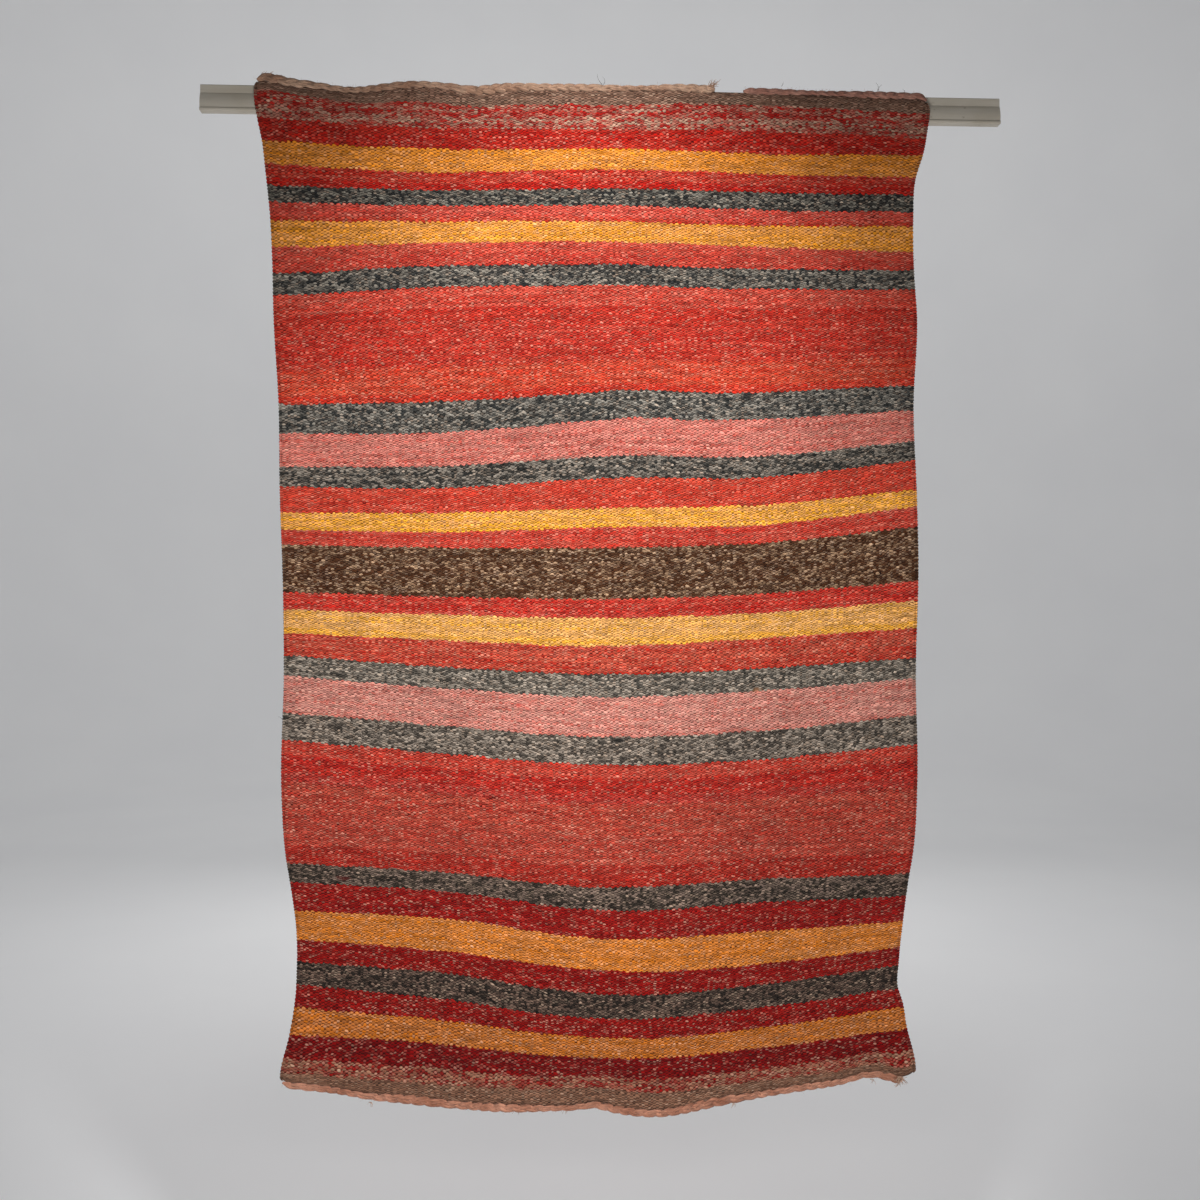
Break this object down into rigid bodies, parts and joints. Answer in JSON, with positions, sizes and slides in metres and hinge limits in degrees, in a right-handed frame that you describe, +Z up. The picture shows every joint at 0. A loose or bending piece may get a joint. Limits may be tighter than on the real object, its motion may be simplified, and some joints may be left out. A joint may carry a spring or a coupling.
{
  "type": "rio grande blanket on wall rail",
  "caption": "Weft-faced wool blanket with horizontal bands and plaited ends, hung flat in front of a moulded wooden wall rail.",
  "frame": {"origin": "middle of the rail's flat back, on the wall plane", "axes": "+Y into the wall, out of the rail's flat back, so the cloth faces -Y; +Z up; +X to the right as seen from the front"},
  "size_m": [1.5, 0.027, 1.9431],
  "materials": {
    "banded_wool": "coarse handspun weft-faced wool, banded in red, coral, gold, grey, pink and brown",
    "braid_tan": "plaited tan wool yarn",
    "rail_paint": "cream painted softwood moulding, eggshell"
  },
  "bodies": {
    "root": {"blanket": "banded_wool", "top_braid_left": "braid_tan", "top_braid_right": "braid_tan", "bottom_braid": "braid_tan", "wall_rail": "rail_paint"}
  },
  "joints": []
}
